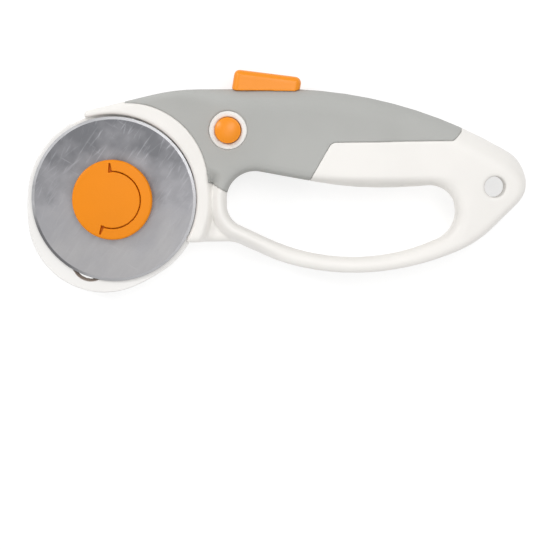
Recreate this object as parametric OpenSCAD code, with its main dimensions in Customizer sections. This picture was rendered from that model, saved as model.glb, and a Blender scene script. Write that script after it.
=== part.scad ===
// Rotary cutter with a closed loop handle, lying on its back.
// X runs along the handle, Y across it towards the thumb slider, Z out of the front face.
// The origin is on the blade's axis, in the plane of the back.

/* [Cutting head] */
// Diameter of the blade
blade_d = 60; // [59:0.5:61]
// Thickness of the blade
blade_t = 0.35; // [0.3:0.05:0.4]
// Diameter of the hub cap
hub_d = 29; // [28:0.5:29.5]
// Radius of the round part of the blade guard
guard_r = 31.7; // [31.5:0.1:32.1]
// Diameter of the hole through the guard's lobe
guard_hole_d = 13.8; // [11:0.2:14]
// How far the guard slides back
guard_travel = 7.5; // [6.5:0.5:7.5]
// Diameter of the spindle
spindle_d = 8; // [7.5:0.1:8]

/* [Body] */
// Thickness of the body
body_t = 24; // [24:0.5:26]
// Thickness of the soft overmould
grip_t = 1.5; // [1.2:0.1:1.6]
// Wall between the outline and the hollow inside
side_wall = 3.2; // [3:0.1:3.4]
// Diameter of the hanging hole
hanging_hole_d = 7.5; // [6:0.5:8]

/* [Controls] */
// How far the thumb slider moves
slider_travel = 12; // [10:1:12]
// Width of the thumb slider
slider_w = 16; // [14:1:16]
// Diameter of the release button
button_d = 9.3; // [9:0.1:9.6]
// How far the release button presses in
button_travel = 2.5; // [2:0.1:2.5]

/* [Hidden] */
$fn = 96;

white = "#ece7e1";
grey = "#b7b7b4";
orange = "#f79a38";
steel = "#a9acae";
brass = "#c9a45a";

// Clearances
gap = 0.3;
running = 0.05;
eps = 0.01;
far = 400;

// Heights above the back
split_z = 12;
head_joint_z = 7;
floor_z = 3;
seat_z = body_t - grip_t;
skin = 1.5;
ceiling_z = seat_z - skin;
rim_z = body_t - 5.5;
low_z = body_t - 3.5;
web_z = body_t - 8.5;
plate_t = 1.6;
plate_z = split_z + plate_t;
guard_z = plate_z + 0.2;
guard_t = 1.5;
guard_top = guard_z + guard_t;
washer_z = guard_top + gap;
washer_t = 0.6;
blade_z = washer_z + washer_t;
cap_z = blade_z + blade_t;
cap_h = 5.8;
latch_z = 5.8;
latch_t = 1.8;
bridge_z = latch_z + latch_t + 0.2;
bridge_t = 1.5;
carriage_z = bridge_z + bridge_t + gap;
carriage_t = 2;
tip_z = 3.5;

// Cutting head
head_r = 29.5;
pocket_r = guard_r + 0.4;
rim_wall = 3.5;
rim_r = pocket_r + rim_wall;
rim_bore = [-0.3, 0.1];
rim_bore_r = 30.65;
bush_r = 6.5;
bush_flange_z = 8;
boss_r = 9;
groove_r = 3;
cap_face_r = 10.3;
travel_dir = 66;
travel = [cos(travel_dir), sin(travel_dir)];
guard_chord = 19;
lobe_centre = [-4.2, -6.9];
lobe_r = 27.6;
guard_hole = [-9, -23.4];
drive_pin = [9, 12.4];
drive_pin_r = 1.5;

// Release button and latch, on a line from the spindle to the button
button = [42, 25];
button_ring_r = 6.9;
button_boss_z = 18.6;
button_tube_r = button_ring_r - 0.1;
button_top = body_t + 0.8;
flange_r = 6;
flange_z = 16.8;
flange_t = 1.5;
stem_r = 3;
latch_dir = atan2(button.y, button.x);
button_s = norm(button);
tongue_z = latch_z - 0.1;
tongue_h = 4.8;
stem_z = latch_z + latch_t + button_travel + 0.1;
tongue_w = 5.6;
cam_gap = 0.4;
bridge_post = [[38, -8.5], [60.5, -5]];
small_bore_r = 0.85;

// Slider
slider_y = 40.6;
slider_pin_at = [50, slider_y + 1.5];
neck = [46, 54];
neck_t = 4.8;
bar_y = 33.2;
detent_post = [79.5, 32.7];
detent_z = carriage_z - 0.6;
detent_t = 0.3;
slot_end = drive_pin + guard_travel * travel - [slider_travel, 0];

// The side below this line, with the loop's lower bar, is thinner than the handle as far as the tail
low_line = 2;
low_end = 118;
low_wall = 3;
low_skin = 2.5;

// The web between the rim and the loop's lower bar, and its solid root beside the rim
web_at = [20, -20];
web_size = [36, 18];
web_root = [28, -20];
web_root_size = [18, 19];
bar_w = 8.5;

// The hanging hole opens into a wider recess behind
hanging_hole = [138.3, 4.7];
recess_r = 6.8;
recess_z = 16;
recess_wall = 1.8;
// Each screw's place, and the height at which the two shells' bosses meet there
case_screw = [
  [20, -12, head_joint_z], [-16, 12, head_joint_z],
  [70, 18, split_z], [115, 14, split_z], [35.5, -9.5, split_z], [131, -5, split_z]
];
boss_wall_r = 3.8;
screw_bore_r = 1.25;
counterbore_r = 2.7;
counterbore_z = 2.6;

// Outlines are corners with a radius each: [x, y, radius], anticlockwise
body_corners = [
  [5, -16.1, 0], [44, -15.7, 12], [86, -35.3, 90], [132.6, -15.7, 40], [157.9, 9.5, 12.1],
  [103.2, 40.5, 168], [22.5, 39.6, 80], [-10.9, 31.9, 2.2], [-9, 20, 0], [0, -10, 0]
];
loop_corners = [
  [86.9, -28.4, 75], [126.7, -10.6, 9.8], [122.4, 5.9, 9.8],
  [92.2, 3.1, 130], [41.3, 12.4, 10.2], [41.6, -7.2, 8]
];
grip_corners = [
  [4.4, 60, 0], [4.4, 5.9, 0], [35.6, 5.9, 0], [42, 2.2, 0], [70.3, 5, 0], [79.2, 20.6, 3],
  [123.2, 21.3, 1.5], [126.2, 24.4, 1.5], [127.2, 27, 0], [127.2, 60, 0]
];
grip_arc = [5.4, 5.7];
grip_arc_r = 29.15;
slider_corners = [[43, 40.6, 0.3], [44.5, 46.9, 2], [68.5, 43.8, 2.2], [67.6, 40.6, 0.6]];

function unit(v) = v / norm(v);
function turn(a, b, c) = cross(b - a, c - b) >= 0 ? 1 : -1;
function xy(p) = [p.x, p.y];
function near(list, i) = list[(i + len(list)) % len(list)];

// Points of the arc that rounds corner b between its neighbours a and c
function arc_points(a, b, c, r) =
  let (
    u = unit(a - b),
    w = unit(c - b),
    half = acos(u * w) / 2,
    centre = b + unit(u + w) * r / sin(half),
    from = b + u * r / tan(half) - centre,
    to = b + w * r / tan(half) - centre,
    start = atan2(from.y, from.x),
    sweep = (turn(a, b, c)) * (180 - 2 * half),
    steps = max(3, ceil(abs(sweep) / 6))
  )
  [for (i = [0:steps]) centre + r * [cos(start + sweep * i / steps), sin(start + sweep * i / steps)]];

// The rounded outline through the corners
function rounded(corners) = [
  for (i = [0:len(corners) - 1])
    let (a = xy(near(corners, i - 1)), b = xy(corners[i]), c = xy(near(corners, i + 1)), r = corners[i][2])
    each (r > 0 ? arc_points(a, b, c, r) : [b])
];

// The same corners moved inwards by t, so that every arc keeps its centre
function inset(corners, t) = [
  for (i = [0:len(corners) - 1])
    let (
      a = xy(near(corners, i - 1)),
      b = xy(corners[i]),
      c = xy(near(corners, i + 1)),
      u = unit(a - b),
      w = unit(c - b),
      side = turn(a, b, c),
      moved = b + side * unit(u + w) * t / sin(acos(u * w) / 2)
    )
    [moved.x, moved.y, corners[i][2] > 0 ? max(0.3, corners[i][2] - side * t) : 0]
];

module slab(from, to) {
  translate([0, 0, from]) linear_extrude(to - from) children();
}

// Points of a half circle about c that starts at angle start
function half_circle(c, r, start) = [for (a = [0:7.5:180]) c + r * [cos(start + a), sin(start + a)]];

// A straight bar with round ends
module capsule(p, q, r) {
  dir = atan2(q.y - p.y, q.x - p.x);
  polygon(concat(half_circle(q, r, dir - 90), half_circle(p, r, dir + 90)));
}

module ring(r_in, r_out) {
  difference() {
    circle(r_out);
    circle(r_in);
  }
}

// Body outline with the finger loop open, moved inwards by t
module body_outline(t) {
  difference() {
    polygon(rounded(inset(body_corners, t)));
    polygon(rounded(inset(loop_corners, -t)));
  }
}

// Disc behind the blade, fuller on the side that doesn't cut
module head_outline() {
  circle(head_r);
  intersection() {
    circle(guard_r - 0.4);
    rotate(travel_dir) translate([guard_chord - 7, -far / 2]) square([far, far]);
  }
}

module grip_outline() {
  intersection() {
    body_outline(0);
    difference() {
      polygon(rounded(grip_corners));
      translate(grip_arc) circle(grip_arc_r);
    }
  }
}

// The part of the body's edge that the overmould wraps
module grip_edge() {
  difference() {
    grip_outline();
    body_outline(grip_t);
  }
}

module bosses(height) {
  for (s = case_screw) if (s[2] == height) translate(xy(s)) circle(boss_wall_r);
}

module slider_slot() {
  translate([neck[0] - 0.4, bar_y, split_z - neck_t / 2 - gap])
    cube([neck[1] - neck[0] + slider_travel + 0.8, 20, neck_t + 2 * gap]);
}

module guard_sweep() {
  intersection() {
    capsule([0, 0], guard_travel * travel, pocket_r);
    rotate(travel_dir) translate([-far, -far / 2]) square([far + guard_chord + guard_travel + 0.4, far]);
  }
}

// The hollow in the front shell, with the rim, the web, the screw bosses and the hanging hole's tube left solid
module front_hollow() {
  difference() {
    body_outline(side_wall);
    circle(rim_r + 1);
    translate(grip_arc) circle(grip_arc_r + skin);
    translate(web_root) square(web_root_size);
    bosses(split_z);
    translate(hanging_hole) circle(recess_r + recess_wall);
    translate(button) circle(button_tube_r);
  }
}

// The web between the head's rim and the loop's lower bar
module web_outline() {
  difference() {
    translate(web_at) square(web_size);
    circle(rim_r);
    polygon(rounded(inset(loop_corners, -bar_w)));
  }
}

module front_shell() {
  color(white) difference() {
    union() {
      slab(split_z, seat_z) difference() {
        body_outline(0);
        grip_edge();
      }
      slab(seat_z, body_t) difference() {
        body_outline(0);
        grip_outline();
      }
      slab(split_z, plate_z) head_outline();
      slab(button_boss_z, body_t) translate(button) circle(button_ring_r);
      slab(bush_flange_z, plate_z) circle(boss_r);
      slab(head_joint_z, plate_z) bosses(head_joint_z);
    }
    slab(split_z - 1, ceiling_z) difference() {
      front_hollow();
      translate([0, low_line + low_wall - far]) square([far, far]);
    }
    slab(split_z - 1, low_z - low_skin) front_hollow();
    slab(low_z, body_t + 1) translate([0, low_line - far]) square([low_end, far]);
    slab(web_z, body_t + 1) web_outline();
    slab(rim_z, body_t + 1) {
      translate(grip_arc) circle(grip_arc_r);
      circle(rim_r);
    }
    slab(plate_z, body_t + 1) translate(rim_bore) circle(rim_bore_r);
    slab(plate_z, guard_top + gap) guard_sweep();
    slab(plate_z - 2, plate_z + 1) capsule(drive_pin, drive_pin + guard_travel * travel, drive_pin_r + gap);
    slab(0, plate_z + 1) circle(bush_r);
    slab(split_z, body_t + 1) translate(button) circle(button_d / 2 + 0.15);
    slab(split_z, button_boss_z) translate(button) circle(flange_r + 1.5);
    slab(0, body_t + 1) translate(hanging_hole) circle(hanging_hole_d / 2);
    slab(0, recess_z) translate(hanging_hole) circle(recess_r);
    for (s = case_screw) slab(s[2] - 1, s[2] + 3.4) translate(xy(s)) circle(screw_bore_r);
    slider_slot();
  }
}

module rear_shell() {
  color(white) difference() {
    union() {
      difference() {
        union() {
          slab(grip_t, split_z) difference() {
            body_outline(0);
            grip_edge();
          }
          slab(0, grip_t) difference() {
            body_outline(0);
            grip_outline();
          }
          slab(0, split_z) head_outline();
        }
        slab(floor_z, split_z + 1) difference() {
          union() {
            body_outline(side_wall);
            circle(head_r - 2.2);
          }
          bosses(split_z);
          translate(hanging_hole) circle(recess_r + recess_wall);
        }
      }
      slab(floor_z - eps, head_joint_z) bosses(head_joint_z);
      // Rails under the latch plate, posts under the bridge, and rails under the carriage
      rotate(latch_dir) for (s = [13, 34])
        translate([s, -4, floor_z - eps]) cube([3, 8, latch_z - floor_z - 0.1]);
      slab(floor_z - eps, bridge_z) rotate(latch_dir) for (p = bridge_post) translate(p) circle(2.4);
      for (x = [28, 70], y = [bar_y - 2.8, bar_y + 1.4]) translate([x, y, floor_z - eps])
        cube([4, 1.2, carriage_z - floor_z - 0.15]);
      slab(floor_z - eps, detent_z) translate(detent_post) circle(2.1);
    }
    for (s = case_screw) translate(xy(s)) {
      slab(-1, counterbore_z) circle(counterbore_r);
      slab(-1, split_z + 1) circle(screw_bore_r);
    }
    slab(floor_z + 1, split_z) {
      rotate(latch_dir) for (p = bridge_post) translate(p) circle(small_bore_r);
      translate(detent_post) circle(small_bore_r);
    }
    slab(-1, split_z + 1) translate(hanging_hole) circle(recess_r);
    slider_slot();
  }
}

module front_grip() {
  color(grey) difference() {
    union() {
      slab(split_z, seat_z) grip_edge();
      slab(seat_z, body_t) grip_outline();
    }
    slab(0, body_t + 1) translate(button) circle(button_ring_r);
    slider_slot();
  }
}

module rear_grip() {
  color(grey) difference() {
    union() {
      slab(grip_t, split_z) grip_edge();
      slab(0, grip_t) grip_outline();
    }
    for (s = case_screw) slab(-1, counterbore_z) translate(xy(s)) circle(counterbore_r);
    slider_slot();
  }
}

module screw(head_r, head_h, shank_r, shank_l) {
  difference() {
    union() {
      translate([0, 0, -head_h]) cylinder(r = head_r, h = head_h);
      cylinder(r = shank_r, h = shank_l);
    }
    translate([0, 0, -head_h - eps]) cylinder(r = head_r * 0.45, h = head_h * 0.6, $fn = 6);
  }
}

module case_screws() {
  color(steel) for (s = case_screw) translate([s.x, s.y, counterbore_z]) screw(2.4, 1.8, 1.2, s[2] + 0.4);
}

module cutting_blade() {
  color(steel) slab(blade_z, cap_z) ring(spindle_d / 2 + running, blade_d / 2);
}

// A nearly flat face over a narrower waist, cut by a fine C-shaped groove with a notch at each end
module hub_cap() {
  hub_r = hub_d / 2;
  rim_h = cap_h - 0.4;
  rim_round = 0.8;
  waist_r = hub_r - 0.9;
  groove_from = -110;
  groove_to = 93;
  color(orange) translate([0, 0, cap_z]) difference() {
    rotate_extrude() polygon([
      [0, 2.5], [spindle_d / 2, 2.5], [spindle_d / 2, 0], [waist_r, 0], [waist_r, 2.6], [hub_r, 3.2],
      for (a = [0:15:90]) [hub_r - rim_round * (1 - cos(a)), rim_h - rim_round * (1 - sin(a))],
      [cap_face_r, cap_h - 0.1], [0, cap_h]
    ]);
    rotate(groove_from) rotate_extrude(angle = groove_to - groove_from)
      translate([cap_face_r - 0.2, cap_h - 1.5]) square([0.4, 2]);
    for (a = [groove_from, groove_to])
      rotate(a) translate([cap_face_r - 0.5, -0.5, cap_h - 2.5]) cube([3, 1, 3]);
  }
}

module hub_washer() {
  color(steel) slab(washer_z, blade_z) ring(spindle_d / 2 + running, 12);
}

// Grooved near its tip for the latch plate
module spindle() {
  r = spindle_d / 2;
  top = cap_z + 2.5;
  color(steel) rotate_extrude() polygon([
    [0, tip_z], [r - 1, tip_z], [r, tip_z + 1], [r, latch_z - 0.2], [groove_r, latch_z - 0.2],
    [groove_r, latch_z + latch_t + 0.2], [r, latch_z + latch_t + 0.2], [r, top], [0, top]
  ]);
}

module spindle_bush() {
  color(brass) slab(bush_flange_z, guard_top) ring(spindle_d / 2 + running, bush_r);
}

module wave_washer() {
  color(steel) slab(guard_top, washer_z - running) ring(spindle_d / 2 + 0.3, bush_r - 0.2);
}

module thrust_pad() {
  color(brass) slab(floor_z, tip_z - running) circle(spindle_d / 2);
}

// A disc cut straight behind the spindle, with a lobe that covers the cutting side
module blade_guard() {
  color(white) slab(guard_z, guard_top) difference() {
    union() {
      intersection() {
        circle(guard_r);
        rotate(travel_dir) translate([-far, -far / 2]) square([far + guard_chord, far]);
      }
      translate(lobe_centre) circle(lobe_r);
    }
    capsule([0, 0], -guard_travel * travel, bush_r + gap);
    translate(guard_hole) circle(guard_hole_d / 2);
    translate(drive_pin) circle(drive_pin_r);
  }
}

module guard_pin() {
  color(steel) slab(carriage_z, guard_top) translate(drive_pin) circle(drive_pin_r);
}

module thumb_slider() {
  color(orange) difference() {
    slab(split_z - slider_w / 2, split_z + slider_w / 2) polygon(rounded(slider_corners));
    translate([neck[0] - running, 0, split_z - neck_t / 2 - running])
      cube([neck[1] - neck[0] + 2 * running, slider_y + 3, neck_t + 2 * running]);
    slab(split_z - 6 - running, split_z + 6 + running) translate(slider_pin_at) circle(1 + eps);
  }
}

// Plate with the sloping cam slot, a link and a bar along the top, and the neck up to the slider
module slider_carriage() {
  color(white) difference() {
    union() {
      slab(carriage_z, carriage_z + carriage_t) {
        capsule(drive_pin, slot_end, drive_pin_r + 2.7);
        capsule(slot_end, [24, bar_y], 2.2);
        capsule([24, bar_y], [62, bar_y], 2.2);
      }
      translate([neck[0], bar_y, carriage_z])
        cube([neck[1] - neck[0], slider_y + 2.9 - bar_y, split_z + neck_t / 2 - carriage_z]);
    }
    slab(0, split_z + 4) capsule(drive_pin, slot_end, drive_pin_r + 0.1);
    translate([60 - slider_travel - 1.2, bar_y - 1.2, 0]) cube([slider_travel + 2.4, 2.4, carriage_z + 0.6]);
    slab(0, body_t) translate(slider_pin_at) circle(1 + eps);
  }
}

module slider_pin() {
  color(steel) slab(split_z - 6, split_z + 6) translate(slider_pin_at) circle(1);
}

// Leaf under the carriage's bar, with a round bump that rides in the bar's groove
module detent_spring() {
  color(steel) {
    slab(detent_z, detent_z + detent_t) difference() {
      union() {
        capsule([57, bar_y], detent_post, 1);
        translate(detent_post) circle(1.9);
      }
      translate(detent_post) circle(0.9);
    }
    slab(detent_z, carriage_z + 0.3) translate([60, bar_y]) circle(0.8);
  }
}

module detent_screw() {
  color(steel) translate([detent_post.x, detent_post.y, detent_z + detent_t])
    mirror([0, 0, 1]) screw(1.8, 1.1, 0.8, 4);
}

// A button whose face is the cap of a large ball
module release_button() {
  r = button_d / 2;
  rise = 1.2;
  ball_r = (r * r + rise * rise) / (2 * rise);
  color(orange) translate(button) difference() {
    intersection() {
      translate([0, 0, flange_z + flange_t]) cylinder(r = r, h = button_top - flange_z - flange_t);
      translate([0, 0, button_top - ball_r]) sphere(ball_r);
    }
    translate([0, 0, flange_z]) cylinder(r = stem_r + eps, h = flange_t + 3);
  }
}

// Stem with a flange that stops it in the shell, and a sloping tongue that drives the latch both ways
module button_plunger() {
  foot = button_s - 4.5;
  color(white) {
    translate(button) {
      slab(stem_z, flange_z + flange_t + 3) circle(stem_r);
      slab(flange_z, flange_z + flange_t) circle(flange_r);
    }
    rotate(latch_dir) translate([0, tongue_w / 2, 0]) rotate([90, 0, 0]) linear_extrude(tongue_w) polygon([
      [foot, tongue_z], [foot + 3.3, tongue_z], [foot + 3.3 + tongue_h, tongue_z + tongue_h],
      [foot + tongue_h, tongue_z + tongue_h]
    ]);
  }
}

// Keyhole plate: its narrow end sits in the spindle's groove, and its sloping window rides on the tongue
module latch_plate() {
  foot = button_s - 4.5;
  color(steel) rotate(latch_dir) difference() {
    slab(latch_z, latch_z + latch_t) {
      difference() {
        union() {
          capsule([-button_travel, 0], [0, 0], 7);
          translate([0, -3.5]) square([42, 7]);
          translate([button_s - 9, -5.5]) square([14.5, 11]);
        }
        translate([-button_travel, 0]) circle(spindle_d / 2 + 0.25);
        capsule([-button_travel, 0], [0, 0], groove_r + 0.15);
      }
    }
    translate([0, tongue_w / 2 + gap, 0]) rotate([90, 0, 0]) linear_extrude(tongue_w + 2 * gap) polygon([
      [foot - cam_gap - 1, tongue_z - 1], [foot + 3.3 + cam_gap - 1, tongue_z - 1],
      [foot + 3.3 + cam_gap + tongue_h, tongue_z + tongue_h], [foot - cam_gap + tongue_h, tongue_z + tongue_h]
    ]);
  }
}

// Plate over the latch that guides the plunger and seats its spring
module latch_bridge() {
  color(white) rotate(latch_dir) slab(bridge_z, bridge_z + bridge_t) difference() {
    union() {
      translate([button_s - 8, -7]) square([15, 14]);
      capsule(bridge_post[0], [button_s - 5, -5], 2.6);
      capsule(bridge_post[1], [button_s + 4, -4], 2.6);
    }
    translate([button_s - 4.5, -tongue_w / 2 - gap]) square([8.5, tongue_w + 2 * gap]);
    for (p = bridge_post) translate(p) circle(0.9);
  }
}

module bridge_screws() {
  color(steel) rotate(latch_dir) for (p = bridge_post)
    translate([p.x, p.y, bridge_z + bridge_t]) mirror([0, 0, 1]) screw(1.9, 1.1, 0.8, 5);
}

// Points around the wire's section at one place along the coil
function wire_ring(t, turns, coil_r, wire_r, height, sides) = [
  for (k = [0:sides - 1])
    let (a = 360 * turns * t, b = 360 * k / sides, r = coil_r + wire_r * cos(b))
    [r * cos(a), r * sin(a), height * t + wire_r * sin(b)]
];

module button_spring() {
  turns = 5;
  wire_r = 0.35;
  sides = 6;
  rings = turns * 14;
  coil_z = bridge_z + bridge_t + wire_r;
  height = flange_z - wire_r - coil_z;
  points = [for (i = [0:rings]) each wire_ring(i / rings, turns, 5.2, wire_r, height, sides)];
  walls = [
    for (i = [0:rings - 1], k = [0:sides - 1])
      let (n = (k + 1) % sides)
      [i * sides + k, (i + 1) * sides + k, (i + 1) * sides + n, i * sides + n]
  ];
  first = [for (k = [0:sides - 1]) k];
  last = [for (k = [sides - 1:-1:0]) rings * sides + k];
  color(steel) translate([button.x, button.y, coil_z]) polyhedron(points, concat([first], walls, [last]));
}

front_shell();
rear_shell();
front_grip();
rear_grip();
case_screws();
cutting_blade();
hub_cap();
hub_washer();
spindle();
spindle_bush();
wave_washer();
thrust_pad();
blade_guard();
guard_pin();
thumb_slider();
slider_carriage();
slider_pin();
detent_spring();
detent_screw();
release_button();
button_plunger();
button_spring();
latch_plate();
latch_bridge();
bridge_screws();
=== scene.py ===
"""Looks for the rotary cutter: smooth moulded shells, overmould, guard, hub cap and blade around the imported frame."""
import math

import bmesh
import bpy
import numpy as np
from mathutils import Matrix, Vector


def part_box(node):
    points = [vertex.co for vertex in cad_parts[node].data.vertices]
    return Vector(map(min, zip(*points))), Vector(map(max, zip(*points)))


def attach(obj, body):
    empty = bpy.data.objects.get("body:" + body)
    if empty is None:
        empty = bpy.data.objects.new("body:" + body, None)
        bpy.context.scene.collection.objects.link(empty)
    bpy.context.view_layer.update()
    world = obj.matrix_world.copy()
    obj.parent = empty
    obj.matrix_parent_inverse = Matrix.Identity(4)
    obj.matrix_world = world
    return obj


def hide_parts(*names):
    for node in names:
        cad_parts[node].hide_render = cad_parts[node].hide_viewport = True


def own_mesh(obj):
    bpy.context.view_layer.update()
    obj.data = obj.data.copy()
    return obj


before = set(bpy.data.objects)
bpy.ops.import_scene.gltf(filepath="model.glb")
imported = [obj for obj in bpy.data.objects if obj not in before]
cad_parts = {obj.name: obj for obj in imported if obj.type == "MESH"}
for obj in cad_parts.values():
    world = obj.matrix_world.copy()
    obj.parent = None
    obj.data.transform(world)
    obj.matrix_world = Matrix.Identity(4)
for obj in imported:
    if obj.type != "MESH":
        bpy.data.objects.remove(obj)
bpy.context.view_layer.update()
MM = 0.001


# ---------------------------------------------------------------- design, in millimetres
def top_of(node):
    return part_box(node)[1].z / MM


def bottom_of(node):
    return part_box(node)[0].z / MM


SPLIT = top_of("rear_shell")
BODY_TOP = top_of("front_shell")
GUARD_CLEARANCE = 0.2
PLATE_TOP = bottom_of("blade_guard") - GUARD_CLEARANCE
GUARD_BOTTOM, GUARD_TOP = bottom_of("blade_guard"), top_of("blade_guard")
BLADE_BOTTOM, BLADE_TOP = bottom_of("cutting_blade"), top_of("cutting_blade")
BLADE_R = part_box("cutting_blade")[1].x / MM
CAP_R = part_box("hub_cap")[1].x / MM
CAP_TOP = top_of("hub_cap")
BUTTON_LOW, BUTTON_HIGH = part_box("release_button")
BUTTON_R = (BUTTON_HIGH.x - BUTTON_LOW.x) / 2 / MM
BUTTON = (BUTTON_LOW.x / MM + BUTTON_R, BUTTON_LOW.y / MM + BUTTON_R)
SLIDER_LOW, SLIDER_HIGH = (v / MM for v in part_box("thumb_slider"))

# A round feature is its centre and radius: (x, y, r)
GUARD_R = 31.7
GUARD_CHORD = 19.0
GUARD_TRAVEL = 7.5
TRAVEL_DIR = math.radians(66)
LOBE = (-4.2, -6.9, 27.6)
GUARD_HOLE = (-9.0, -23.4, 6.9)
HOLE_SLOPE = 0.75
BUSH_SLOT_R = 6.8
DRIVE_PIN = (9.0, 12.4, 1.5)

HEAD_R = 29.5
HEAD_EDGE_R = 2.4
POCKET_R = GUARD_R + 0.4
POCKET_TOP = GUARD_TOP + 0.3
RIM_BORE = (-0.3, 0.1, 30.65)
RIM_SOLID_R = 37.5

# Heights of the front face at the rim, the bar round the loop and the web, and where the first two are highest
RIM_Z, RIM_CREST = 18.8, 34.2
BAR_Z, BAR_CREST = 20.2, 2.4
WEB_Z = 15.4
HEAD_DROP, TAIL_DROP, END_DROP = 5.4, 1.8, 1.2
LOOP_BLEND = 1.5
LOOP_EDGE_R = 4.2
LOOP_DRAFT, LOOP_DRAFT_TOP = 0.11, 18.0

GRIP_ARC = (5.4, 5.7, 29.15)
GRIP_T = 1.5
SHELL_T = 1.5
FRONT_T = 4.0
SEAM_GAP, SEAM_ROUND = 0.05, 0.35
HANGING_HOLE = (138.3, 4.7, 3.75)
RECESS_R, RECESS_Z, RECESS_WALL = 6.8, 16.0, 1.8
CASE_SCREWS = [(20, -12), (-16, 12), (70, 18), (115, 14), (35.5, -9.5), (131, -5)]
BOSS_R, SHANK_R = 3.8, 1.3
COUNTERBORE_R, COUNTERBORE_Z = 2.7, 2.6

BUTTON_RING_R = 6.9
BUTTON_CLEARANCE = 0.15
STEM_SOCKET_R, STEM_SOCKET_DEPTH = 3.02, 3.0
SPRING_R, SPRING_WIRE_R, SPRING_TURNS = 5.2, 0.34, 5
SPRING_Z = (9.3, 16.78)
SLIDER_TRAVEL = 12.0
SLIDER_SLOT = ((45.6, 33, 9.3), (66.4, 60, 14.7))
SLIDER_SOCKET = ((45.95, 0, 9.5), (54.05, 44.5, 14.5))

SPINDLE_R = 4.0
BLADE_BORE_R = 4.05
GRIND_W = 1.0
PAINTED_DARK_EDGE_CENTRE = (-24.0, -19.0)
# Centre of the painted dark reflection on the ground edge, at the blade's lower left
CAP_WAIST = 0.9
SLIT_R, SLIT_HALF_W, SLIT_DEPTH = 10.3, 0.22, 2.6
SLIT_ENDS = (-110, 93)
MM_PER_DEGREE = 0.18
NOTCH_SPAN = (9.9, 13.3)
NOTCH_DEPTH = 2.9

# Outlines are corners with a radius each, anticlockwise, as in the part's own source
BODY_CORNERS = [
    (5, -16.1, 0), (44, -15.7, 12), (86, -35.3, 90), (132.6, -15.7, 40), (157.9, 9.5, 12.1),
    (103.2, 40.5, 168), (22.5, 39.6, 80), (-10.9, 31.9, 2.2), (-9, 20, 0), (0, -10, 0),
]
LOOP_CORNERS = [
    (86.9, -28.4, 75), (126.7, -10.6, 9.8), (122.4, 5.9, 9.8), (92.2, 3.1, 130), (41.3, 12.4, 10.2), (41.6, -7.2, 8),
]
GRIP_CORNERS = [
    (4.4, 60, 0), (4.4, 5.9, 0), (35.6, 5.9, 0), (42, 2.2, 0), (70.3, 5, 0), (79.2, 20.6, 3),
    (123.2, 21.3, 1.5), (126.2, 24.4, 1.5), (127.2, 27, 0), (127.2, 60, 0),
]
SLIDER_CORNERS = [(42.8, 37, 0.3), (44.5, 46.9, 2.0), (68.7, 43.9, 2.3), (67.4, 37, 0.6)]


# ---------------------------------------------------------------- outlines and distance fields
def rounded(corners):
    """The outline's points, with each corner rounded by its radius."""
    points = []
    for i, (x, y, r) in enumerate(corners):
        a = np.array(corners[i - 1][:2], float)
        b = np.array((x, y), float)
        c = np.array(corners[(i + 1) % len(corners)][:2], float)
        if r == 0:
            points.append(b)
            continue
        u = (a - b) / np.linalg.norm(a - b)
        w = (c - b) / np.linalg.norm(c - b)
        half = math.acos(u @ w) / 2
        bisector = (u + w) / np.linalg.norm(u + w)
        centre = b + bisector * r / math.sin(half)
        start = b + u * r / math.tan(half) - centre
        turn = 1 if (b - a)[0] * (c - b)[1] - (b - a)[1] * (c - b)[0] > 0 else -1
        sweep = turn * (math.pi - 2 * half)
        first = math.atan2(start[1], start[0])
        steps = max(4, int(abs(sweep) / math.radians(3)))
        for k in range(steps + 1):
            t = first + sweep * k / steps
            points.append(centre + r * np.array((math.cos(t), math.sin(t))))
    return np.array(points)


def outline_distance(points, x, y):
    """Distance to a closed outline, negative inside it."""
    best = np.full(x.shape, np.inf, np.float32)
    inside = np.zeros(x.shape, bool)
    for (ax, ay), (bx, by) in zip(points, np.roll(points, -1, 0)):
        ex, ey = bx - ax, by - ay
        px, py = x - ax, y - ay
        t = np.clip((px * ex + py * ey) / max(ex * ex + ey * ey, 1e-12), 0, 1)
        best = np.minimum(best, (px - t * ex) ** 2 + (py - t * ey) ** 2)
        if ay != by:
            inside ^= ((ay > y) != (by > y)) & (x < ax + (y - ay) * ex / ey)
    return np.where(inside, -1, 1) * np.sqrt(best)


def smooth_max(a, b, k):
    h = np.maximum(k - np.abs(a - b), 0) / k
    return np.maximum(a, b) + h * h * k / 4


def smooth_min(a, b, k):
    return -smooth_max(-a, -b, k)


def step(lo, hi, v):
    t = np.clip((v - lo) / (hi - lo), 0, 1)
    return t * t * (3 - 2 * t)


def rounded_slab(d, z, low, high, r):
    """Distance to an outline's slab between two heights, with its edges rounded by r."""
    r = np.minimum(r, (high - low) / 2)
    qx = d + r
    qz = np.abs(z - (low + high) / 2) - ((high - low) / 2 - r)
    outside = np.sqrt(np.maximum(qx, 0) ** 2 + np.maximum(qz, 0) ** 2)
    return outside + np.minimum(np.maximum(qx, qz), 0) - r


def from_point(x, y, centre):
    return np.hypot(x - centre[0], y - centre[1])


class Grid:
    """A box of sample points, in millimetres, with the slow outlines worked out once on its plan."""

    def __init__(self, low, high, size):
        self.low, self.size = np.array(low, float), size
        n = np.ceil((np.array(high, float) - self.low) / size).astype(int) + 1
        axes = [(self.low[i] + size * np.arange(n[i])).astype(np.float32) for i in range(3)]
        self.x = axes[0][:, None, None]
        self.y = axes[1][None, :, None]
        self.z = axes[2][None, None, :]
        self.px, self.py = np.broadcast_arrays(axes[0][:, None], axes[1][None, :])

    def outline(self, corners):
        return outline_distance(rounded(corners), self.px, self.py)[:, :, None]


CELL_CORNERS = [(i, j, k) for i in (0, 1) for j in (0, 1) for k in (0, 1)]


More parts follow.
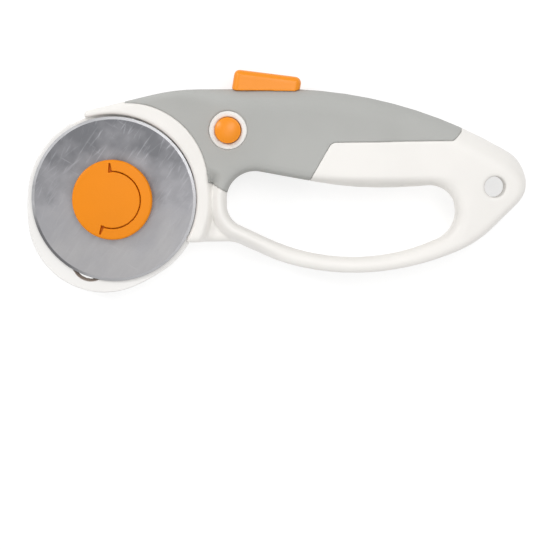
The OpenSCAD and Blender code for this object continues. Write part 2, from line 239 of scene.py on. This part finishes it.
def surface(field, grid):
    """Quads along the zero level of a field: one vertex in each cell that the level crosses."""
    inside = field < 0
    n = np.array(field.shape)
    count = sum(inside[i:n[0] - 1 + i, j:n[1] - 1 + j, k:n[2] - 1 + k].astype(np.int8) for i, j, k in CELL_CORNERS)
    cells = np.argwhere((count > 0) & (count < 8))
    number = np.full(n - 1, -1, np.int32)
    number[tuple(cells.T)] = np.arange(len(cells))
    total = np.zeros((len(cells), 3))
    hits = np.zeros(len(cells))
    for a in CELL_CORNERS:
        for axis in range(3):
            if a[axis]:
                continue
            b = list(a)
            b[axis] = 1
            fa = field[tuple((cells + a).T)]
            fb = field[tuple((cells + b).T)]
            cross = (fa < 0) != (fb < 0)
            t = np.where(cross, fa / np.where(cross, fa - fb, 1), 0)
            place = np.array(a, float)[None, :].repeat(len(cells), 0)
            place[:, axis] = t
            total += place * cross[:, None]
            hits += cross
    points = grid.low + grid.size * (cells + total / hits[:, None])
    faces = []
    for axis in range(3):
        u, v = (axis + 1) % 3, (axis + 2) % 3
        near, beyond = [slice(1, -1)] * 3, [slice(1, -1)] * 3
        near[axis], beyond[axis] = slice(0, -1), slice(1, None)
        change = inside[tuple(near)] != inside[tuple(beyond)]
        at = np.argwhere(change)
        at[:, u] += 1
        at[:, v] += 1
        du, dv = np.eye(3, dtype=int)[u], np.eye(3, dtype=int)[v]
        ring = [number[tuple((at - p).T)] for p in (du + dv, dv, np.zeros(3, int), du)]
        quad = np.stack(ring, 1)
        outward = inside[tuple(at.T)]
        faces.append(np.where(outward[:, None], quad, quad[:, ::-1]))
    return points, np.concatenate(faces)


def mesh_object(name, points, faces):
    """A smooth object from points in millimetres."""
    mesh = bpy.data.meshes.new(name)
    mesh.vertices.add(len(points))
    mesh.vertices.foreach_set("co", (np.asarray(points) * MM).astype(np.float32).ravel())
    mesh.loops.add(faces.size)
    mesh.loops.foreach_set("vertex_index", faces.astype(np.int32).ravel())
    mesh.polygons.add(len(faces))
    mesh.polygons.foreach_set("loop_start", np.arange(0, faces.size, faces.shape[1], dtype=np.int32))
    mesh.update(calc_edges=True)
    mesh.validate()
    mesh.polygons.foreach_set("use_smooth", np.ones(len(mesh.polygons), bool))
    piece = bpy.data.objects.new(name, mesh)
    bpy.context.scene.collection.objects.link(piece)
    return piece


def moulded(name, field, grid, body, node, material):
    """A piece on the field's zero level, which stands for a CAD node."""
    piece = mesh_object(name, *surface(field, grid))
    piece.data.materials.append(material)
    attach(piece, body)
    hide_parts(node)
    return piece


# ---------------------------------------------------------------- materials
def new_material(name):
    material = bpy.data.materials.new(name)
    material.use_nodes = True
    tree = material.node_tree
    return material, tree, tree.nodes["Principled BSDF"]


def noise(tree, scale, detail, stretch=(1, 1, 1), turn=0.0):
    """Noise over the object's own coordinates, stretched and turned about Z."""
    place = tree.nodes.new("ShaderNodeTexCoord")
    mapping = tree.nodes.new("ShaderNodeMapping")
    mapping.vector_type = "TEXTURE"
    mapping.inputs["Rotation"].default_value = (0, 0, turn)
    mapping.inputs["Scale"].default_value = stretch
    texture = tree.nodes.new("ShaderNodeTexNoise")
    texture.inputs["Scale"].default_value = scale
    texture.inputs["Detail"].default_value = detail
    tree.links.new(place.outputs["Object"], mapping.inputs["Vector"])
    tree.links.new(mapping.outputs["Vector"], texture.inputs["Vector"])
    return texture.outputs["Fac"]


def ramp(tree, value, stops):
    """A colour ramp with (position, colour) stops."""
    node = tree.nodes.new("ShaderNodeValToRGB")
    while len(node.color_ramp.elements) < len(stops):
        node.color_ramp.elements.new(0.5)
    for element, (position, colour) in zip(node.color_ramp.elements, stops):
        element.position = position
        element.color = (*colour, 1)
    tree.links.new(value, node.inputs["Fac"])
    return node.outputs["Color"]


def span(tree, value, low, high):
    node = tree.nodes.new("ShaderNodeMapRange")
    node.inputs["From Min"].default_value = 0.3
    node.inputs["From Max"].default_value = 0.7
    node.inputs["To Min"].default_value = low
    node.inputs["To Max"].default_value = high
    tree.links.new(value, node.inputs["Value"])
    return node.outputs["Result"]


def bump(tree, shader, height, distance, strength=1.0):
    node = tree.nodes.new("ShaderNodeBump")
    node.inputs["Strength"].default_value = strength
    node.inputs["Distance"].default_value = distance
    tree.links.new(height, node.inputs["Height"])
    tree.links.new(node.outputs["Normal"], shader.inputs["Normal"])


def plastic(name, colour, roughness, grain=0.00002, grain_scale=2500, tint=0.04, specular=0.45):
    """Moulded plastic: a faint drift of shade over the part, and a fine moulded grain."""
    material, tree, shader = new_material(name)
    drift = noise(tree, 28, 3)
    darker = tuple(c * (1 - tint) for c in colour)
    tree.links.new(ramp(tree, drift, [(0.35, darker), (0.65, colour)]), shader.inputs["Base Color"])
    tree.links.new(span(tree, noise(tree, 120, 4), roughness - 0.05, roughness + 0.05), shader.inputs["Roughness"])
    shader.inputs["Specular IOR Level"].default_value = specular
    bump(tree, shader, noise(tree, grain_scale, 2), grain)
    return material


def brushed_steel(name, colour, roughness):
    material, tree, shader = new_material(name)
    lines = noise(tree, 350, 5, stretch=(14, 1, 1))
    darker = tuple(c * 0.8 for c in colour)
    tree.links.new(ramp(tree, lines, [(0.3, darker), (0.7, colour)]), shader.inputs["Base Color"])
    tree.links.new(span(tree, lines, roughness - 0.08, roughness + 0.1), shader.inputs["Roughness"])
    shader.inputs["Metallic"].default_value = 1.0
    bump(tree, shader, lines, 0.00001)
    return material


def mix_colours(tree, kind, factor, a, b):
    """Mixes two colours. The factor and each colour are a value or another node's output."""
    node = tree.nodes.new("ShaderNodeMix")
    node.data_type = "RGBA"
    node.blend_type = kind
    for socket, value in ((node.inputs[0], factor), (node.inputs[6], a), (node.inputs[7], b)):
        if isinstance(value, (int, float, tuple)):
            socket.default_value = value
        else:
            tree.links.new(value, socket)
    return node.outputs[2]


def distance_to(tree, point):
    """How far a place on the object is from a point in its plane, in millimetres."""
    place = tree.nodes.new("ShaderNodeTexCoord")
    flat = tree.nodes.new("ShaderNodeVectorMath")
    flat.operation = "MULTIPLY"
    flat.inputs[1].default_value = (1 / MM, 1 / MM, 0)
    gap = tree.nodes.new("ShaderNodeVectorMath")
    gap.operation = "DISTANCE"
    gap.inputs[1].default_value = (point[0], point[1], 0)
    tree.links.new(place.outputs["Object"], flat.inputs[0])
    tree.links.new(flat.outputs["Vector"], gap.inputs[0])
    return gap.outputs["Value"]


def shade_near(material, point, reach, fade, colour):
    """Paints shade into a material by mixing another colour in within reach of a point."""
    tree = material.node_tree
    shader = tree.nodes["Principled BSDF"]
    base = shader.inputs["Base Color"].links[0].from_socket
    near = tree.nodes.new("ShaderNodeMapRange")
    near.inputs["From Min"].default_value = reach
    near.inputs["From Max"].default_value = reach + fade
    near.inputs["To Min"].default_value = 1
    near.inputs["To Max"].default_value = 0
    tree.links.new(distance_to(tree, point), near.inputs["Value"])
    mixed = mix_colours(tree, "MIX", near.outputs["Result"], base, (*colour, 1))
    tree.links.new(mixed, shader.inputs["Base Color"])


def blade_steel():
    """Coated blade steel with painted shade that darkens it towards the top (+Y); blotched, with short fine scratches
    that cross each other.
    """
    material, tree, shader = new_material("blade_steel")
    place = tree.nodes.new("ShaderNodeTexCoord")
    # Painted shade: a straight gradient over the blade, darker towards +Y. The noise added to it gives real blotches.
    painted_shade_gradient = tree.nodes.new("ShaderNodeVectorMath")
    painted_shade_gradient.operation = "DOT_PRODUCT"
    painted_shade_gradient.inputs[1].default_value = (1.5, -12, 0)
    tree.links.new(place.outputs["Object"], painted_shade_gradient.inputs[0])
    tone = tree.nodes.new("ShaderNodeMath")
    tone.operation = "MULTIPLY_ADD"
    tone.inputs[1].default_value = 0.55
    tree.links.new(painted_shade_gradient.outputs["Value"], tone.inputs[0])
    tree.links.new(span(tree, noise(tree, 95, 6), 0.42, 0.58), tone.inputs[2])
    shade = ramp(tree, tone.outputs["Value"], [
        (0.33, (0.150, 0.152, 0.163)), (0.50, (0.305, 0.303, 0.318)), (0.68, (0.35, 0.344, 0.350)),
    ])
    # Scratches show fully where the tone is dark, mostly where the painted shade falls, and fade where it is light.
    scratch_mask_by_tone = ramp(tree, tone.outputs["Value"], [(0.36, (1, 1, 1)), (0.56, (0.22, 0.22, 0.22))])
    for turn, scale, level in ((0.95, 1100, 0.60), (0.70, 800, 0.63), (1.25, 1200, 0.62), (-0.5, 1000, 0.66)):
        scratches = noise(tree, scale, 2, stretch=(9, 1, 1), turn=turn)
        bright = ramp(tree, scratches, [(level, (0, 0, 0)), (level + 0.14, (0.10, 0.10, 0.106))])
        shade = mix_colours(tree, "ADD", 0.75, shade, mix_colours(tree, "MULTIPLY", 1.0, bright, scratch_mask_by_tone))
    tree.links.new(shade, shader.inputs["Base Color"])
    grind = noise(tree, 600, 4, stretch=(9, 1, 1), turn=0.9)
    tree.links.new(span(tree, grind, 0.38, 0.48), shader.inputs["Roughness"])
    shader.inputs["Metallic"].default_value = 0.7
    bump(tree, shader, grind, 0.000005)
    return material


WHITE = plastic("white_plastic", (0.84, 0.818, 0.785), 0.42)
GUARD_WHITE = plastic("guard_plastic", (0.86, 0.845, 0.825), 0.45)
GREY = plastic("grey_overmould", (0.435, 0.437, 0.420), 0.78, grain=0.00005, grain_scale=1600, tint=0.06)
ORANGE = plastic("orange_plastic", (0.90, 0.285, 0.008), 0.34, tint=0.05, specular=0.4)
HUB_ORANGE = plastic("hub_plastic", (0.85, 0.255, 0.003), 0.45, tint=0.06, specular=0.2)
INNER = plastic("inner_plastic", (0.70, 0.68, 0.64), 0.55)
STEEL = brushed_steel("plain_steel", (0.56, 0.57, 0.58), 0.32)
BRASS = brushed_steel("turned_brass", (0.70, 0.52, 0.24), 0.30)
BLADE_STEEL = blade_steel()
GROUND_STEEL = brushed_steel("ground_steel", (0.50, 0.50, 0.515), 0.46)
# Painted shade: brown-grey on the guard's hole wall, where shade falls inside the hole.
shade_near(GUARD_WHITE, GUARD_HOLE, GUARD_HOLE[2] - 0.1, 0.35, (0.29, 0.235, 0.20))
# Painted reflection: the ground edge darkened towards the lower left, where it would reflect a dark room.
shade_near(GROUND_STEEL, PAINTED_DARK_EDGE_CENTRE, 9.0, 8.0, (0.20, 0.20, 0.208))


# ---------------------------------------------------------------- body shells and overmould
def body_fields(grid):
    """The whole body's solid, the overmould's region on it, and how far each point is from the blade's axis."""
    x, y, z = grid.x, grid.y, grid.z
    outer = grid.outline(BODY_CORNERS)
    loop = grid.outline(LOOP_CORNERS)
    axis = np.hypot(x, y)

    # Front face: the handle's crown, and below it the rim, the bar round the loop and the web between them
    beyond_arc = from_point(x, y, GRIP_ARC) - GRIP_ARC[2]
    tail = step(88, 150, x)
    handle = BODY_TOP - HEAD_DROP * (1 - step(-4, 22, beyond_arc)) - TAIL_DROP * tail
    rim = RIM_Z - 0.6 * np.maximum(axis - RIM_CREST, 0) ** 2
    bar = BAR_Z - 0.3 * np.maximum(loop - BAR_CREST, 0) ** 2 * (1 - step(50, 64, x))
    web = np.full_like(rim, WEB_Z)
    low_side = smooth_max(smooth_max(rim, bar, 0.2), web, 0.6)
    end_drop = END_DROP * step(58, 112, np.degrees(np.arctan2(y, x))) * (1 - step(20, 70, np.hypot(x, y - 34)))
    low_side = low_side + (handle - low_side) * step(106, 130, x)
    edge_line = np.clip(6.2 - 0.54 * (x - 35), 2.6, 8)
    front = low_side + (handle - low_side) * step(-0.5, 6, y - edge_line) - end_drop

    back = -LOOP_BLEND / 4
    edge_r = 2.6 + 5.9 * step(20, 48, x) * step(2, 14, y) + 0.8 * step(100, 140, x)
    solid = rounded_slab(outer, z, back, front, edge_r)
    drafted = LOOP_DRAFT * np.maximum(LOOP_DRAFT_TOP - z, 0) - loop
    opening = rounded_slab(drafted, z, back, front, np.float32(LOOP_EDGE_R))
    solid = smooth_max(solid, opening, LOOP_BLEND)

    region = smooth_max(grid.outline(GRIP_CORNERS), -beyond_arc, 0.3)
    return solid, region, axis


def head_plate(grid, axis):
    """The round plate behind the blade, fuller on the side that doesn't cut."""
    x, y, z = grid.x, grid.y, grid.z
    along = x * math.cos(TRAVEL_DIR) + y * math.sin(TRAVEL_DIR)
    fuller = np.maximum(axis - (GUARD_R - 0.4), (GUARD_CHORD - 7) - along)
    plan = np.minimum(axis - HEAD_R, fuller)
    return np.maximum(rounded_slab(plan, z, 0.0, PLATE_TOP + 3, np.float32(HEAD_EDGE_R)), z - PLATE_TOP)


def guard_room(x, y, z):
    """The space under the rim that the guard slides into."""
    ux, uy = math.cos(TRAVEL_DIR), math.sin(TRAVEL_DIR)
    along = x * ux + y * uy
    t = np.clip(along, 0, GUARD_TRAVEL)
    swept = np.hypot(x - t * ux, y - t * uy) - POCKET_R
    plan = np.maximum(swept, along - (GUARD_CHORD + GUARD_TRAVEL + 0.4))
    return np.maximum(plan, np.maximum(PLATE_TOP - z, z - POCKET_TOP))


def screw_distance(x, y):
    return np.minimum.reduce([from_point(x, y, s) for s in CASE_SCREWS])


def box_field(x, y, z, low, high):
    parts = [np.maximum(a - v, v - b) for v, a, b in zip((x, y, z), low, high)]
    return np.maximum(np.maximum(parts[0], parts[1]), parts[2])


def make_body():
    size = 0.45
    grid = Grid((-34.5, -38, -1.2), (152.5, 44, BODY_TOP + 1.2), size)
    x, y, z = grid.x, grid.y, grid.z
    body, region, axis = body_fields(grid)
    plate = head_plate(grid, axis)

    pocket = np.maximum(from_point(x, y, RIM_BORE) - RIM_BORE[2], PLATE_TOP - z)
    rimmed = smooth_max(body, -pocket, 1.6)
    slot = box_field(x, y, z, *SLIDER_SLOT)
    from_hole = from_point(x, y, HANGING_HOLE)
    hole = -np.minimum(from_hole - HANGING_HOLE[2], np.maximum(from_hole - RECESS_R, z - RECESS_Z))
    from_button = from_point(x, y, BUTTON)
    ring = from_button - BUTTON_RING_R
    screws = screw_distance(x, y)

    grip = np.maximum(np.maximum(body, region), -(body + GRIP_T))
    grip = np.maximum(np.maximum(grip, -ring), -slot)
    skin = smooth_min(body + GRIP_T, np.maximum(body, np.minimum(-region, ring)), 0.01)

    front = np.minimum(np.maximum(rimmed, skin), plate)
    solid_parts = np.maximum(BOSS_R - screws, RECESS_R + RECESS_WALL - from_hole)
    hollow = np.maximum(np.maximum(body + SHELL_T + GRIP_T, RIM_SOLID_R - axis), solid_parts)
    front = np.maximum(front, -np.maximum(hollow, z - (BODY_TOP - FRONT_T)))
    front = np.maximum(front, -guard_room(x, y, z))
    bore = (BUTTON_R + BUTTON_CLEARANCE) - from_button
    front = smooth_max(front, bore, 0.5)
    front = np.maximum(smooth_max(front, hole, 1.0), -slot)
    above_seam = (SPLIT + SEAM_GAP) - z
    front = smooth_max(front, above_seam, SEAM_ROUND)

    rear = np.minimum(skin, plate)
    rear = np.maximum(rear, -np.maximum(smooth_min(body, plate, 1.0) + SHELL_T + GRIP_T, solid_parts))
    counterbore = np.maximum(screws - COUNTERBORE_R, z - COUNTERBORE_Z)
    rear = smooth_max(rear, -np.minimum(counterbore, screws - SHANK_R), 0.35)
    rear = np.maximum(smooth_max(rear, hole, 1.0), -slot)
    below_seam = z - (SPLIT - SEAM_GAP)
    rear = smooth_max(rear, below_seam, SEAM_ROUND)

    moulded("front_shell_moulding", front, grid, "body", "front_shell", WHITE)
    moulded("rear_shell_moulding", rear, grid, "body", "rear_shell", WHITE)
    front_grip = smooth_max(grip, above_seam, SEAM_ROUND)
    rear_grip = smooth_max(smooth_max(grip, -counterbore, 0.35), below_seam, SEAM_ROUND)
    moulded("front_overmould", front_grip, grid, "body", "front_grip", GREY)
    moulded("rear_overmould", rear_grip, grid, "body", "rear_grip", GREY)


# ---------------------------------------------------------------- cutting head
def make_guard():
    size = 0.25
    grid = Grid((-33.5, -36, GUARD_BOTTOM - 0.6), (33, 33, GUARD_TOP + 0.6), size)
    x, y, z = grid.x, grid.y, grid.z
    ux, uy = math.cos(TRAVEL_DIR), math.sin(TRAVEL_DIR)
    along = x * ux + y * uy
    disc = smooth_max(np.hypot(x, y) - GUARD_R, along - GUARD_CHORD, 1.0)
    plan = smooth_min(disc, from_point(x, y, LOBE) - LOBE[2], 1.5)
    t = np.clip(along, -GUARD_TRAVEL, 0)
    hub_slot = np.hypot(x - t * ux, y - t * uy) - BUSH_SLOT_R
    plan = np.maximum(plan, -hub_slot)
    field = rounded_slab(plan, z, GUARD_BOTTOM, GUARD_TOP, np.float32(0.45))
    hole = GUARD_HOLE[2] - HOLE_SLOPE * (GUARD_TOP - z) - from_point(x, y, GUARD_HOLE)
    field = np.maximum(field, hole)
    field = np.maximum(field, DRIVE_PIN[2] - from_point(x, y, DRIVE_PIN))
    moulded("guard_moulding", field, grid, "guard", "blade_guard", GUARD_WHITE)


def make_hub_cap():
    """A low cap with a nearly flat face, a fine C-shaped slit and a tapered notch at each end of it."""
    size = 0.14
    grid = Grid((-CAP_R - 0.6, -CAP_R - 0.6, BLADE_TOP - 0.5), (CAP_R + 0.6, CAP_R + 0.6, CAP_TOP + 0.5), size)
    x, y, z = grid.x, grid.y, grid.z
    r = np.hypot(x, y)
    angle = np.degrees(np.arctan2(y, x))
    crown = CAP_TOP - 0.003 * r * r
    field = rounded_slab(r - CAP_R, z, BLADE_TOP + 2.6, crown, np.float32(0.8))
    field = np.minimum(field, rounded_slab(r - CAP_R + CAP_WAIST, z, BLADE_TOP, crown - 1, np.float32(0.2)))
    past_ends = np.maximum(SLIT_ENDS[0] - angle, angle - SLIT_ENDS[1]) * MM_PER_DEGREE
    slit = np.maximum(np.maximum(np.abs(r - SLIT_R) - SLIT_HALF_W, (CAP_TOP - SLIT_DEPTH) - z), past_ends)
    field = np.maximum(field, -slit)
    for end in SLIT_ENDS:
        a = math.radians(end)
        out = x * math.cos(a) + y * math.sin(a)
        side = -x * math.sin(a) + y * math.cos(a)
        half = 0.68 - 0.12 * (out - NOTCH_SPAN[0])
        along = np.maximum(NOTCH_SPAN[0] - out, out - NOTCH_SPAN[1])
        notch = np.maximum(np.maximum(np.abs(side) - half, along), (CAP_TOP - NOTCH_DEPTH) - z)
        field = np.maximum(field, -notch)
    field = np.maximum(field, -np.maximum(r - SPINDLE_R, z - (BLADE_TOP + 2.5)))
    moulded("hub_cap_moulding", field, grid, "blade", "hub_cap", HUB_ORANGE)


def lathe(name, profile, segments):
    """Turns a closed (radius, height) profile about Z. Radii are all above zero."""
    points, faces = [], []
    n = len(profile)
    for i in range(segments):
        a = 2 * math.pi * i / segments
        points += [(r * math.cos(a), r * math.sin(a), z) for r, z in profile]
        for k in range(n):
            here, after = i * n, ((i + 1) % segments) * n
            faces.append((here + k, after + k, after + (k + 1) % n, here + (k + 1) % n))
    return mesh_object(name, np.array(points), np.array(faces))


def sharp_by_angle(piece, degrees):
    """Keeps real edges crisp on a smooth-shaded mesh."""
    edit = bmesh.new()
    edit.from_mesh(piece.data)
    for edge in edit.edges:
        if len(edge.link_faces) == 2 and edge.calc_face_angle(0) > math.radians(degrees):
            edge.smooth = False
    edit.to_mesh(piece.data)
    edit.free()


def make_blade():
    """A thin disc, ground to an edge from the front and the back."""
    middle = (BLADE_BOTTOM + BLADE_TOP) / 2
    flat_r = BLADE_R - GRIND_W
    profile = [
        (BLADE_BORE_R, BLADE_BOTTOM), (flat_r, BLADE_BOTTOM), (BLADE_R, middle - 0.01),
        (BLADE_R, middle + 0.01), (flat_r, BLADE_TOP), (BLADE_BORE_R, BLADE_TOP),
    ]
    blade = lathe("ground_blade", profile, 256)
    sharp_by_angle(blade, 8)
    blade.data.materials.append(BLADE_STEEL)
    blade.data.materials.append(GROUND_STEEL)
    for face in blade.data.polygons:
        if math.hypot(face.center.x, face.center.y) > flat_r * MM:
            face.material_index = 1
    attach(blade, "blade")
    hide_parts("cutting_blade")


# ---------------------------------------------------------------- controls
def make_slider():
    """The thumb slider: a wedge with rounded edges that sits on the body like a saddle, over its whole travel."""
    size = 0.3
    grid = Grid((42, 37, SLIDER_LOW.z - 0.6), (70, 49, SLIDER_HIGH.z + 0.6), size)
    x, y, z = grid.x, grid.y, grid.z
    plan = grid.outline(SLIDER_CORNERS)
    field = rounded_slab(plan, z, SLIDER_LOW.z, SLIDER_HIGH.z, np.float32(2.3))
    for shift in (0.0, SLIDER_TRAVEL / 2, SLIDER_TRAVEL):
        moved = Grid((42 + shift, 37, SLIDER_LOW.z - 0.6), (70 + shift, 49, SLIDER_HIGH.z + 0.6), size)
        body = body_fields(moved)[0]
        field = smooth_max(field, 0.2 - body, 0.3)
    field = np.maximum(field, -box_field(x, y, z, *SLIDER_SOCKET))
    moulded("thumb_slider_moulding", field, grid, "slider", "thumb_slider", ORANGE)


def make_button():
    """A round button with a domed face and a softened rim."""
    top, foot = BUTTON_HIGH.z / MM, BUTTON_LOW.z / MM
    rise, rim = 1.2, 0.25
    ball = (BUTTON_R ** 2 + rise ** 2) / (2 * rise)
    dome = [(r, top - ball + math.sqrt(ball ** 2 - r ** 2)) for r in np.linspace(0.02, BUTTON_R - rim, 12)]
    edge = dome[-1][1]
    bend = np.linspace(0.3, math.pi / 2, 5)
    turn = [(BUTTON_R - rim + rim * math.sin(a), edge - rim + rim * math.cos(a)) for a in bend]
    socket_top = foot + STEM_SOCKET_DEPTH
    socket = [(STEM_SOCKET_R, foot), (STEM_SOCKET_R, socket_top), (0.02, socket_top)]
    profile = dome + turn + [(BUTTON_R, foot)] + socket
    button = lathe("button_cap", [(r, z) for r, z in reversed(profile)], 96)
    sharp_by_angle(button, 50)
    button.location = (BUTTON[0] * MM, BUTTON[1] * MM, 0)
    button.data.materials.append(ORANGE)
    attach(button, "button")
    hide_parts("release_button")


def make_spring():
    """The button's return spring, made at one length (the real one shortens as the button goes in)."""
    steps, sides = 240, 12

    # The wire's middle line, and a ring of points round it at each step
    turn = np.linspace(0, 2 * math.pi * SPRING_TURNS, steps + 1)
    out = np.stack([np.cos(turn), np.sin(turn), np.zeros(steps + 1)], 1)
    low, high = SPRING_Z[0] + SPRING_WIRE_R, SPRING_Z[1] - SPRING_WIRE_R
    middle = out * SPRING_R + np.stack([
        np.full(steps + 1, BUTTON[0]), np.full(steps + 1, BUTTON[1]), np.linspace(low, high, steps + 1),
    ], 1)
    around = np.arange(sides) * 2 * math.pi / sides
    ring = np.cos(around)[None, :, None] * out[:, None, :] + np.sin(around)[None, :, None] * np.array((0, 0, 1))
    points = (middle[:, None, :] + SPRING_WIRE_R * ring).reshape(-1, 3)
    points = np.vstack([points, middle[:1], middle[-1:]])

    # Triangles between the rings, and a fan at each end
    a = (np.arange(steps)[:, None] * sides + np.arange(sides)).ravel()
    b = (np.arange(steps)[:, None] * sides + (np.arange(sides) + 1) % sides).ravel()
    first = np.arange(sides)
    after = (first + 1) % sides
    last = steps * sides
    start, end = len(points) - 2, len(points) - 1
    faces = np.vstack([
        np.stack([a, a + sides, b + sides], 1), np.stack([a, b + sides, b], 1),
        np.stack([np.full(sides, start), first, after], 1),
        np.stack([np.full(sides, end), last + after, last + first], 1),
    ])
    spring = mesh_object("return_spring", points, faces)
    spring.data.materials.append(STEEL)
    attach(spring, "body")
    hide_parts("button_spring")
    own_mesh(spring)


# ---------------------------------------------------------------- the CAD nodes that stay
def dress_cad_nodes():
    """Bevels and materials for the metal and plastic pieces whose shape is already right."""
    looks = {
        STEEL: ["case_screws", "hub_washer", "spindle", "wave_washer", "guard_pin", "slider_pin", "detent_spring",
                "detent_screw", "latch_plate", "bridge_screws"],
        BRASS: ["spindle_bush", "thrust_pad"],
        INNER: ["slider_carriage", "button_plunger", "latch_bridge"],
    }
    for material, nodes in looks.items():
        for name in nodes:
            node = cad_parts[name]
            node.data.materials.clear()
            node.data.materials.append(material)
            weld = node.modifiers.new("weld", "WELD")
            weld.merge_threshold = 0.000002
            bevel = node.modifiers.new("soft_edges", "BEVEL")
            bevel.width = 0.00008
            bevel.segments = 2
            bevel.limit_method = "ANGLE"
            bevel.angle_limit = math.radians(40)


# ---------------------------------------------------------------- stage, light and camera
def make_stage():
    floor = mesh_object("floor", np.array([(-3000, -3000, 0), (3000, -3000, 0), (3000, 3000, 0), (-3000, 3000, 0)]),
                        np.array([(0, 1, 2, 3)]))
    material, tree, shader = new_material("floor_paint")
    tint = ramp(tree, noise(tree, 3, 2), [(0.3, (0.395, 0.395, 0.395)), (0.7, (0.405, 0.405, 0.405))])
    tree.links.new(tint, shader.inputs["Base Color"])
    shader.inputs["Roughness"].default_value = 0.9
    shader.inputs["Specular IOR Level"].default_value = 0.1
    tree.links.new(tint, shader.inputs["Emission Color"])
    shader.inputs["Emission Strength"].default_value = 1.65
    floor.data.materials.append(material)


def area_light(name, place, target, size, power):
    light = bpy.data.lights.new(name, "AREA")
    light.shape = "DISK"
    light.size = size
    light.energy = power
    lamp = bpy.data.objects.new(name, light)
    lamp.location = place
    lamp.rotation_euler = (Vector(target) - Vector(place)).to_track_quat("-Z", "Y").to_euler()
    bpy.context.scene.collection.objects.link(lamp)


def make_light():
    world = bpy.data.worlds.new("studio")
    world.use_nodes = True
    background = world.node_tree.nodes["Background"]
    background.inputs["Color"].default_value = (1, 1, 1, 1)
    background.inputs["Strength"].default_value = 0.56
    bpy.context.scene.world = world
    area_light("key", (0.26, 0.32, 0.9), (0.05, 0, 0), 0.45, 2.6)
    area_light("fill", (0.05, -0.1, 1.1), (0.05, 0, 0), 0.8, 1.8)
    area_light("side", (-0.75, 0.50, 0.72), (0.04, 0.02, 0), 0.3, 3.5)


def make_camera():
    """Looks straight down on the cutter's front, a little from the thumb side."""
    camera = bpy.data.cameras.new("camera")
    camera.sensor_width = 36
    distance, width = 450.0, 201.0
    camera.lens = camera.sensor_width * distance / width
    camera.clip_start, camera.clip_end = 0.01, 20
    view = bpy.data.objects.new("camera", camera)
    aim = Vector((58.9, -27.8, BLADE_TOP)) * MM
    place = Vector((58.9, 21.6, BLADE_TOP + distance)) * MM
    view.location = place
    view.rotation_euler = (math.atan2(aim.y - place.y, place.z - aim.z), 0, 0)
    bpy.context.scene.collection.objects.link(view)
    bpy.context.scene.camera = view


make_camera()
make_light()
make_stage()
make_body()
make_guard()
make_hub_cap()
make_blade()
make_slider()
make_button()
make_spring()
dress_cad_nodes()
bpy.context.scene.view_settings.view_transform = "Standard"
